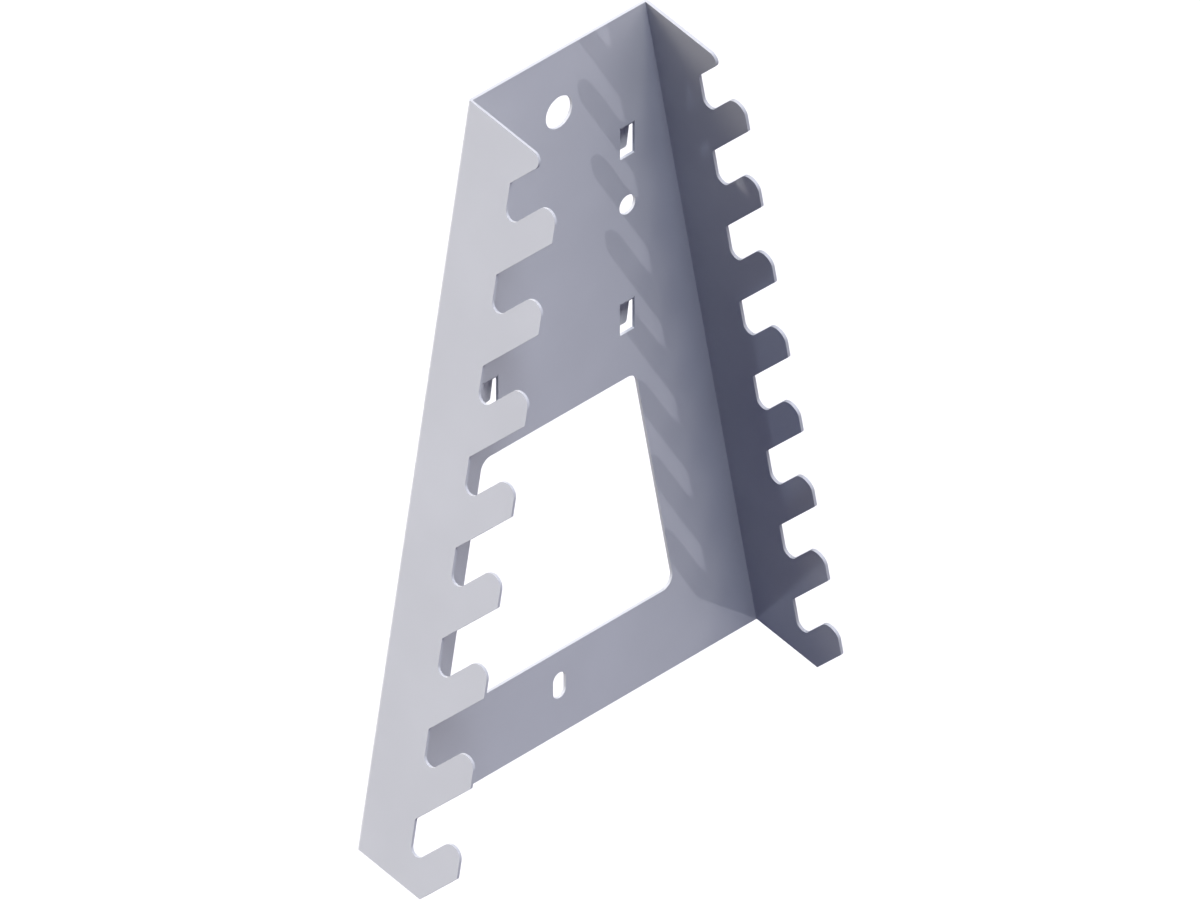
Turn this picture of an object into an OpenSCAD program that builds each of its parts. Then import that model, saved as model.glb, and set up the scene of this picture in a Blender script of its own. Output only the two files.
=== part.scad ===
/* [Sheet] */
// Thickness of the steel sheet
sheet_t = 1.2; // [0.8:0.1:2.5]
// Inside radius of the two long folds
fold_r = 0.3; // [0.2:0.1:1.5]
// How far each side flange leans in past square, in degrees
flange_lean = 2; // [0:0.5:6]

/* [Back plate] */
// Height of the back plate
plate_h = 297; // [290:1:420]
// Outside width across the folds at the bottom edge
bottom_w = 202.4; // [190:0.2:260]
// Outside width across the folds at the top edge
top_w = 89; // [86:0.2:120]

/* [Side flanges] */
// Reach of the flanges forward of the rear face
flange_d = 47.4; // [40:0.2:70]
// Distance from the rear face to the back wall of the notches
notch_back = 24.6; // [18:0.2:32]
// Number of notches down each flange
notch_n = 8; // [4:1:8]
// Vertical distance from one notch to the next
notch_pitch = 36; // [30:0.5:38]
// Height of each notch at its back wall, measured vertically
notch_h = 18.2; // [12:0.2:22]
// Slope of the notches, up towards the front, in degrees
notch_slope = 45; // [30:1:50]
// Height of the lowest notch's top back corner above the bottom edge
first_notch_z = 23; // [22:0.2:30]
// Radius in the lower back corner of each notch
notch_floor_r = 3.2; // [1:0.1:4]
// Radius in the upper back corner of each notch
notch_top_r = 1; // [0.3:0.1:2]
// Radius on the upper front corner of each tooth
tooth_r = 4.6; // [1:0.1:5.4]
// Radius on the end of the top tooth
top_tooth_r = 3.6; // [1:0.1:6]

/* [Window cut-out] */
// Height of the cut-out's lower edge above the bottom edge
cutout_z = 36.3; // [32:0.5:50]
// Height of the cut-out itself
cutout_h = 102.6; // [60:0.5:106]
// Width of the solid band between each fold and the cut-out
cutout_band = 35.5; // [30:0.5:50]
// Radius in the corners of the cut-out
cutout_r = 5; // [2:0.2:12]

/* [Holes] */
// Diameter of the large hanging hole near the top
hang_hole_d = 13.2; // [8:0.2:20]
// Distance of the large hole's centre below the top edge
hang_hole_drop = 26.4; // [18:0.2:34]
// Diameter of the small hole beside the right-hand hooks
side_hole_d = 8; // [4:0.2:8.6]
// Height of the small hole's centre
side_hole_z = 213.9; // [205:0.5:222]
// Width of the fixing slot near the bottom
slot_w = 6.4; // [4:0.1:9]
// Length of the fixing slot from end to end
slot_l = 11.1; // [9.2:0.1:16]
// Height of the fixing slot's centre
slot_z = 21.3; // [14:0.1:26]

/* [Panel hooks] */
// Distance between the left and right columns of hooks
hook_span = 68.5; // [60:0.5:70]
// Vertical distance between the upper and lower hooks
hook_pitch = 76.2; // [72:0.2:78]
// Height of the lower windows' top edge
hook_z = 172.4; // [168:0.5:180]
// Width of each hook window
window_w = 7.4; // [6:0.1:9]
// Height of each hook window
window_h = 13.8; // [12:0.1:18]
// Width of the hook tongue
hook_w = 6.8; // [4:0.1:6.9]
// Space behind the rear face at the narrow upper end of the hooks' grip
hook_gap = 1.3; // [0.8:0.1:3]
// Lean of the tongue away from the plate below there, in degrees
hook_flare = 7.5; // [0:0.5:12]
// Drop of the tongue below the top of its window
hook_drop = 13; // [9:0.1:16]
// Steepness of the tongue's step back, from upright, in degrees
hook_step = 50; // [30:1:60]
// Inside radius where the tongue leaves the plate
hook_root_r = 0.4; // [0.2:0.1:1]
// Inside radius where the tongue turns down again
hook_knee_r = 1.5; // [0.5:0.1:3]
// Radius on the lower corners of the tongue
hook_tip_r = 1; // [0.3:0.1:2]

/* [Hidden] */
$fn = 96;

steel_grey = [0.72, 0.73, 0.75];
cut_over = 1;                                  // how far cutters pass a face
arc_over = 0.002;                              // how far a corner's arc passes its edges

// Height of the origin above the bottom edge: the centre of the four hook windows
origin_z = hook_z + (hook_pitch - window_h) / 2;

fold_tilt = atan((bottom_w - top_w) / 2 / plate_h);    // fold line from upright
fold_angle = 90 + flange_lean;                         // angle the sheet turns through
fold_outer_r = fold_r + sheet_t;
setback = fold_outer_r * tan(fold_angle / 2);          // sharp corner to tangent line
fold_base = setback * tan(fold_tilt);                  // fold start, along the fold line
fold_len = plate_h / cos(fold_tilt);

tangent_reach = fold_outer_r * (1 + sin(flange_lean)); // rear face to the flange's start
tooth_reach = (flange_d - tangent_reach) / cos(flange_lean);
notch_reach = (notch_back - tangent_reach) / cos(flange_lean);
notch_step = notch_pitch / cos(fold_tilt);
notch_gap = notch_h / cos(fold_tilt);
first_notch = first_notch_z / cos(fold_tilt) + fold_base;

cutout_inset = cutout_band / cos(fold_tilt);

// Unit vector from point a to point b
function toward(a, b) = (b - a) / norm(b - a);

// Turn at corner b on the way from a to c: positive to the left
function turn(a, b, c) = cross(b - a, c - b);

// What a round of radius r takes off, or adds in, at the corner b of the outline a, b, c.
// It starts a little past the corner, so that no sliver is left along the outline's edges.
module corner_waste(a, b, c, r) {
    u = toward(b, a);
    v = toward(b, c);
    inward = toward([0, 0], u + v);
    half = acos(max(-1, min(1, u * v))) / 2;
    reach = r / tan(half);
    centre = b + inward * r / sin(half);
    difference() {
        polygon([b - inward * cut_over, b + u * reach, centre, b + v * reach]);
        translate(centre) circle(r + arc_over);
    }
}

// Outline with the corner at each point rounded by a true arc of the radius given for it
module rounded_outline(points, radii) {
    n = len(points);
    difference() {
        union() {
            polygon(points);
            for (i = [0 : n - 1])
                if (radii[i] > 0 && turn(points[(i + n - 1) % n], points[i], points[(i + 1) % n]) < 0)
                    corner_waste(points[(i + n - 1) % n], points[i], points[(i + 1) % n], radii[i]);
        }
        for (i = [0 : n - 1])
            if (radii[i] > 0 && turn(points[(i + n - 1) % n], points[i], points[(i + 1) % n]) > 0)
                corner_waste(points[(i + n - 1) % n], points[i], points[(i + 1) % n], radii[i]);
    }
}

// Stands a drawing of the front view up as sheet, from the rear face forward
module in_plate() {
    translate([0, 0, -origin_z]) rotate([90, 0, 0]) linear_extrude(sheet_t) children();
}

// Cuts a drawing of the front view right through the plate
module through_plate() {
    translate([0, cut_over, -origin_z])
        rotate([90, 0, 0]) linear_extrude(sheet_t + 2 * cut_over) children();
}

// Half width of the flat plate at height z, out to where the fold begins
function plate_half(z) = bottom_w / 2 - z * tan(fold_tilt) - setback / cos(fold_tilt);

// Half width of the cut-out at height z
function cutout_half(z) = bottom_w / 2 - z * tan(fold_tilt) - cutout_inset;

module slot_outline() {
    run = (slot_l - slot_w) / 2;
    translate([0, -run]) circle(d = slot_w);
    translate([0, run]) circle(d = slot_w);
    square([slot_w, 2 * run], center = true);
}

module cutout_outline() {
    low = cutout_z;
    high = cutout_z + cutout_h;
    rounded_outline([[-cutout_half(low), low], [cutout_half(low), low],
                     [cutout_half(high), high], [-cutout_half(high), high]],
                    [cutout_r, cutout_r, cutout_r, cutout_r]);
}

// Bottom left corner of the window at column side (-1 or 1) and row (0 low, 1 high)
function window_at(side, row) =
    [side * hook_span / 2 - window_w / 2, hook_z + row * hook_pitch - window_h];

module back_plate() {
    color(steel_grey) difference() {
        in_plate() polygon([[-plate_half(0), 0], [plate_half(0), 0],
                            [plate_half(plate_h), plate_h], [-plate_half(plate_h), plate_h]]);
        through_plate() cutout_outline();
        through_plate() translate([0, plate_h - hang_hole_drop]) circle(d = hang_hole_d);
        through_plate() translate([hook_span / 2, side_hole_z]) circle(d = side_hole_d);
        through_plate() translate([0, slot_z]) slot_outline();
        for (side = [-1, 1], row = [0, 1])
            through_plate() translate(window_at(side, row)) square([window_w, window_h]);
    }
}

// Frame of the right-hand fold: z runs up the fold line, x points out of the plate's edge
module at_fold() {
    translate([bottom_w / 2, 0, -origin_z]) rotate([0, -fold_tilt, 0]) children();
}

module right_side_fold() {
    far = 2 * fold_outer_r;
    color(steel_grey) at_fold() translate([-setback, -fold_outer_r, fold_base])
        linear_extrude(fold_len) intersection() {
            difference() {
                circle(fold_outer_r);
                circle(fold_r);
            }
            polygon([[0, 0], [0, far], [far, far],
                     [far * cos(flange_lean), -far * sin(flange_lean)]]);
        }
}

// Flange seen from the outside, flat: x runs forward from the fold, y up the fold line.
// The top and bottom edges carry on the line of the plate's own edges.
function flange_edge(x) = fold_base - x * tan(fold_tilt);
notch_rise = tan(notch_slope);
function notch_top(i, x) = first_notch + i * notch_step + (x - notch_reach) * notch_rise;
function notch_floor(i, x) = notch_top(i, x) - notch_gap;

// Where the lowest tooth's underside meets the bottom edge
heel_x = (fold_base - notch_top(-1, 0)) / (notch_rise + tan(fold_tilt));
// Where the top tooth's underside meets the top edge, or the flange's full reach
crest_x = min(tooth_reach, (fold_base + fold_len - notch_top(notch_n - 1, 0))
                           / (notch_rise + tan(fold_tilt)));

flange_points = concat(
    [[0, fold_base], [heel_x, flange_edge(heel_x)], [tooth_reach, notch_top(-1, tooth_reach)]],
    [for (i = [0 : notch_n - 1]) each [
        [tooth_reach, notch_floor(i, tooth_reach)],
        [notch_reach, notch_floor(i, notch_reach)],
        [notch_reach, notch_top(i, notch_reach)],
        if (i < notch_n - 1) [tooth_reach, notch_top(i, tooth_reach)]]],
    [[crest_x, notch_top(notch_n - 1, crest_x)], [0, fold_base + fold_len]]);

flange_radii = concat([0, 0, 0],
    [for (i = [0 : notch_n - 1]) each [
        tooth_r, notch_floor_r, notch_top_r, if (i < notch_n - 1) 0]],
    [top_tooth_r, 0]);

module right_side_flange() {
    color(steel_grey) at_fold()
        translate([-setback + fold_outer_r * cos(flange_lean),
                   -fold_outer_r * (1 + sin(flange_lean)), 0])
        rotate([0, 0, -90 - flange_lean]) rotate([90, 0, 0])
            linear_extrude(sheet_t) rounded_outline(flange_points, flange_radii);
}

// Tongue in side view: x runs back from the plate's front face, y is the height below
// the top of the window. It steps back behind the plate and hangs down there, leaning away.
step_back = sheet_t + hook_gap;
root_mitre = tan(hook_step / 2);
root_y = -(hook_root_r + sheet_t) * root_mitre;
knee_y = root_y - step_back / tan(hook_step);
knee_mitre = tan((hook_step - hook_flare) / 2);

// Corner of the tongue's back face across the sheet from the knee in its front face
back_knee = [step_back + sheet_t * (cos(hook_flare) - knee_mitre * sin(hook_flare)),
             knee_y + sheet_t * (sin(hook_flare) + knee_mitre * cos(hook_flare))];

// Distance back to the tongue's front face at height y, below the knee
function tongue_front(y) = step_back + (knee_y - y) * tan(hook_flare);

module tongue_outline() {
    tip = tongue_front(-hook_drop);
    rounded_outline([[0, 0], [0, root_y], [step_back, knee_y], [tip, -hook_drop],
                     [tip + sheet_t / cos(hook_flare), -hook_drop], back_knee,
                     [sheet_t, root_y + sheet_t * root_mitre], [sheet_t, 0]],
                    [0, hook_root_r + sheet_t, hook_knee_r, 0,
                     0, hook_knee_r + sheet_t, hook_root_r, 0]);
}

module hook(side, row) {
    depth = tongue_front(-hook_drop) + sheet_t / cos(hook_flare);
    top = hook_z + row * hook_pitch - origin_z;
    color(steel_grey) translate([side * hook_span / 2, -sheet_t, top])
        intersection() {
            translate([-hook_w / 2, 0, 0]) rotate([90, 0, 90])
                linear_extrude(hook_w) tongue_outline();
            translate([0, depth, 0]) rotate([90, 0, 0]) linear_extrude(depth)
                rounded_outline([[-hook_w / 2, -hook_drop], [hook_w / 2, -hook_drop],
                                 [hook_w / 2, 0], [-hook_w / 2, 0]],
                                [hook_tip_r, hook_tip_r, 0, 0]);
        }
}

module left_fold() { mirror([1, 0, 0]) right_side_fold(); }
module right_fold() { right_side_fold(); }
module left_flange() { mirror([1, 0, 0]) right_side_flange(); }
module right_flange() { right_side_flange(); }
module upper_left_hook() { hook(-1, 1); }
module upper_right_hook() { hook(1, 1); }
module lower_left_hook() { hook(-1, 0); }
module lower_right_hook() { hook(1, 0); }

back_plate();
left_fold();
right_fold();
left_flange();
right_flange();
upper_left_hook();
upper_right_hook();
lower_left_hook();
lower_right_hook();
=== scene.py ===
import math

import bpy
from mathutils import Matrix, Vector

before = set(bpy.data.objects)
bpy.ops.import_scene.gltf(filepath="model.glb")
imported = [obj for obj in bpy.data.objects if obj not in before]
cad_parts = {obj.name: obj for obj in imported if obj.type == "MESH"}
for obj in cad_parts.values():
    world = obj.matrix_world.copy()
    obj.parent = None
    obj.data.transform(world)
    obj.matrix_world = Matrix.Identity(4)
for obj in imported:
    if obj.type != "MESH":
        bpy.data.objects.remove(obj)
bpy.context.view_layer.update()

# The picture: an isometric view from the front left and above, through a very long lens
MM = 0.001                        # millimetres to metres
PICTURE_WIDTH = 1200              # pixels
PICTURE_SCALE = 2.8185            # pixels for each millimetre across the view, at the frame's origin
TO_CAMERA = Vector((-1, -1, 1)).normalized()
VIEW_RIGHT = Vector((1, -1, 0)).normalized()
VIEW_UP = TO_CAMERA.cross(VIEW_RIGHT)
AIM_RIGHT = 15.34                 # mm from the frame's origin to the picture's centre
AIM_UP = -65.26                   # mm, likewise, up the picture
LENS = 1200                       # mm, so long that the view has almost no perspective. With more than
                                  # about 1290 mm, the views from other sides lose the rack.
SENSOR = 36                       # mm across
FARTHEST_SEEN = 30000             # mm from the camera

# The room
FLOOR_DROP = 1300                 # mm from the frame's origin down to the floor
FLOOR_SIZE = 12000                # mm along each side
WHITE = (1.0, 1.0, 1.0)
FLOOR_TONE = (0.66, 0.66, 0.66)
FLOOR_ROUGHNESS = 0.9
FLOOR_GLOW = 0.03                 # what the camera sees on top of the floor's own light
SKY_TONE = (0.0, 0.0, 0.069)      # what lights the rack from all round

# The coat of paint
COAT_GREY = (0.53, 0.545, 0.565)
COAT_ROUGHNESS = 0.55
ROUGHNESS_SPREAD = 0.05           # either way, over the peel's bumps
COAT_SHEEN = 0.08                 # specular level
PEEL_SIZE = 0.9                   # mm across one bump of the coat's orange peel
PEEL_HEIGHT = 0.012               # mm
PEEL_DETAIL = 1.5                 # finer layers in the bumps
PEEL_GRAIN = 0.4                  # how strong each finer layer is
CLOUD_SIZE = 38                   # mm across one soft patch of a thicker or thinner coat
CLOUD_DEPTH = 0.025               # share of the tone that the patches change
CLOUD_DETAIL = 2.0                # finer layers in the patches
CLOUD_GRAIN = 0.5                 # how strong each finer layer is
NOISE_LOW = 0.3                   # a noise pattern seldom goes lower
NOISE_HIGH = 0.7                  # nor higher

# The lamps: name, the way that the light travels (right, forward, up), strength, colour, softness in degrees
LAMPS = [
    ("key_from_behind_left", (1, 1.6, -0.3), 0.666, (1.0, 0.952, 0.902), 5),
    ("wide_key_behind_left", (1, 1.6, -1.25), 0.612, (1.0, 0.941, 0.854), 40),
    ("wide_left_key_above", (1, 0.7, -1.25), 0.140, (1.0, 0.95, 0.793), 40),
    ("overhead_front_left", (0.211, -0.366, -0.906), 0.779, (0.826, 0.865, 1.0), 12),
    ("overhead_front", (0, -0.423, -0.906), 0.296, (1.0, 0.979, 0.925), 12),
    ("wide_front_right", (-1, -1, -1), 0.328, (1.0, 0.943, 0.946), 60),
    ("low_front_right", (-0.97, -1, 0.98), 0.140, (0.934, 0.916, 1.0), 0.5),
    ("low_behind_left", (1, 1, 1.2), 0.080, (0.681, 0.774, 1.0), 3),
    ("behind_right", (-1, 0.12, -0.3), 0.24, (1.0, 1.0, 1.0), 15),
]


def sun(name, travel, strength, colour, softness):
    """A lamp that shines along travel. At strength 1, a face square to it shows its colour as written."""
    data = bpy.data.lights.new(name, "SUN")
    data.energy = strength * math.pi
    data.color = colour
    data.angle = math.radians(softness)
    lamp = bpy.data.objects.new(name, data)
    right, forward, up = travel
    lamp.rotation_mode = "QUATERNION"
    lamp.rotation_quaternion = Vector((right, -forward, up)).to_track_quat("-Z", "Y")
    bpy.context.scene.collection.objects.link(lamp)


def new_node(tree, kind, **inputs):
    """Adds a shader node and sets the inputs named, with spaces for underscores."""
    made = tree.nodes.new(kind)
    for name, value in inputs.items():
        made.inputs[name.replace("_", " ")].default_value = value
    return made


def powder_coat():
    """Satin light-grey powder coat: fine orange peel and faint patches where the coat is thicker."""
    coat = bpy.data.materials.new("light_grey_powder_coat")
    coat.use_nodes = True
    tree = coat.node_tree
    tree.nodes.clear()
    link = tree.links.new
    place = new_node(tree, "ShaderNodeTexCoord")

    clouds = new_node(tree, "ShaderNodeTexNoise", Scale=1 / (CLOUD_SIZE * MM),
                      Detail=CLOUD_DETAIL, Roughness=CLOUD_GRAIN)
    link(place.outputs["Object"], clouds.inputs["Vector"])
    tone = new_node(tree, "ShaderNodeMapRange", From_Min=NOISE_LOW, From_Max=NOISE_HIGH,
                    To_Min=1 - CLOUD_DEPTH, To_Max=1 + CLOUD_DEPTH)
    link(clouds.outputs["Fac"], tone.inputs["Value"])
    colour = new_node(tree, "ShaderNodeVectorMath")
    colour.operation = "SCALE"
    colour.inputs[0].default_value = COAT_GREY
    link(tone.outputs["Result"], colour.inputs["Scale"])

    peel = new_node(tree, "ShaderNodeTexNoise", Scale=1 / (PEEL_SIZE * MM),
                    Detail=PEEL_DETAIL, Roughness=PEEL_GRAIN)
    link(place.outputs["Object"], peel.inputs["Vector"])
    bumps = new_node(tree, "ShaderNodeBump", Strength=1.0, Distance=PEEL_HEIGHT * MM)
    link(peel.outputs["Fac"], bumps.inputs["Height"])
    rough = new_node(tree, "ShaderNodeMapRange", From_Min=NOISE_LOW, From_Max=NOISE_HIGH,
                     To_Min=COAT_ROUGHNESS - ROUGHNESS_SPREAD, To_Max=COAT_ROUGHNESS + ROUGHNESS_SPREAD)
    link(peel.outputs["Fac"], rough.inputs["Value"])

    skin = new_node(tree, "ShaderNodeBsdfPrincipled", Specular_IOR_Level=COAT_SHEEN)
    link(colour.outputs["Vector"], skin.inputs["Base Color"])
    link(rough.outputs["Result"], skin.inputs["Roughness"])
    link(bumps.outputs["Normal"], skin.inputs["Normal"])
    out = new_node(tree, "ShaderNodeOutputMaterial")
    link(skin.outputs["BSDF"], out.inputs["Surface"])
    return coat


def seen_rays(tree):
    """1 where the camera, a reflection or glass looks, and 0 where light falls on the rack."""
    rays = new_node(tree, "ShaderNodeLightPath")
    direct = new_node(tree, "ShaderNodeMath")
    direct.operation = "MAXIMUM"
    tree.links.new(rays.outputs["Is Camera Ray"], direct.inputs[0])
    tree.links.new(rays.outputs["Is Glossy Ray"], direct.inputs[1])
    either = new_node(tree, "ShaderNodeMath")
    either.operation = "MAXIMUM"
    tree.links.new(direct.outputs[0], either.inputs[0])
    tree.links.new(rays.outputs["Is Transmission Ray"], either.inputs[1])
    return either.outputs[0]


def white_room():
    """A white background to look at, and a dim cool light from all round."""
    world = bpy.data.worlds.new("white_room")
    world.use_nodes = True
    tree = world.node_tree
    tree.nodes.clear()
    colour = new_node(tree, "ShaderNodeMix")
    colour.data_type = "RGBA"
    colour.inputs["A"].default_value = (*SKY_TONE, 1)
    colour.inputs["B"].default_value = (*WHITE, 1)
    tree.links.new(seen_rays(tree), colour.inputs["Factor"])
    glow = new_node(tree, "ShaderNodeBackground")
    tree.links.new(colour.outputs["Result"], glow.inputs["Color"])
    out = new_node(tree, "ShaderNodeOutputWorld")
    tree.links.new(glow.outputs["Background"], out.inputs["Surface"])
    bpy.context.scene.world = world


def floor():
    """A plain pale floor far below the rack, which hangs on a wall. Seen from below, the floor is clear."""
    half = FLOOR_SIZE / 2 * MM
    level = -FLOOR_DROP * MM
    mesh = bpy.data.meshes.new("floor")
    mesh.from_pydata([(-half, -half, level), (half, -half, level), (half, half, level), (-half, half, level)],
                     [], [(0, 1, 2, 3)])
    plane = bpy.data.objects.new("floor", mesh)
    bpy.context.scene.collection.objects.link(plane)
    paint = bpy.data.materials.new("pale_floor")
    paint.use_nodes = True
    tree = paint.node_tree
    skin = tree.nodes["Principled BSDF"]
    skin.inputs["Base Color"].default_value = (*FLOOR_TONE, 1)
    skin.inputs["Roughness"].default_value = FLOOR_ROUGHNESS
    skin.inputs["Emission Color"].default_value = (*WHITE, 1)
    glow = new_node(tree, "ShaderNodeMath")
    glow.operation = "MULTIPLY"
    glow.inputs[1].default_value = FLOOR_GLOW
    tree.links.new(seen_rays(tree), glow.inputs[0])
    tree.links.new(glow.outputs[0], skin.inputs["Emission Strength"])
    side = new_node(tree, "ShaderNodeNewGeometry")
    clear = new_node(tree, "ShaderNodeBsdfTransparent")
    either = new_node(tree, "ShaderNodeMixShader")
    tree.links.new(side.outputs["Backfacing"], either.inputs["Fac"])
    tree.links.new(skin.outputs["BSDF"], either.inputs[1])
    tree.links.new(clear.outputs["BSDF"], either.inputs[2])
    tree.links.new(either.outputs["Shader"], tree.nodes["Material Output"].inputs["Surface"])
    mesh.materials.append(paint)
    plane.visible_diffuse = False
    plane.visible_shadow = False


def camera():
    """The photograph's camera. It stands far off behind a very long lens."""
    data = bpy.data.cameras.new("camera")
    data.sensor_width = SENSOR
    data.lens = LENS
    data.clip_end = FARTHEST_SEEN * MM
    eye = bpy.data.objects.new("camera", data)
    aim = VIEW_RIGHT * AIM_RIGHT + VIEW_UP * AIM_UP
    away = PICTURE_WIDTH / PICTURE_SCALE * LENS / SENSOR
    eye.location = (aim + TO_CAMERA * away) * MM
    eye.rotation_mode = "QUATERNION"
    eye.rotation_quaternion = TO_CAMERA.to_track_quat("Z", "Y")
    bpy.context.scene.collection.objects.link(eye)
    bpy.context.scene.camera = eye


def lamps():
    """The light of the photograph."""
    for lamp in LAMPS:
        sun(*lamp)


def main():
    bpy.context.scene.view_settings.view_transform = "Standard"
    coat = powder_coat()
    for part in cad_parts.values():
        for place in part.material_slots:
            place.material = coat
    white_room()
    floor()
    lamps()
    camera()


main()
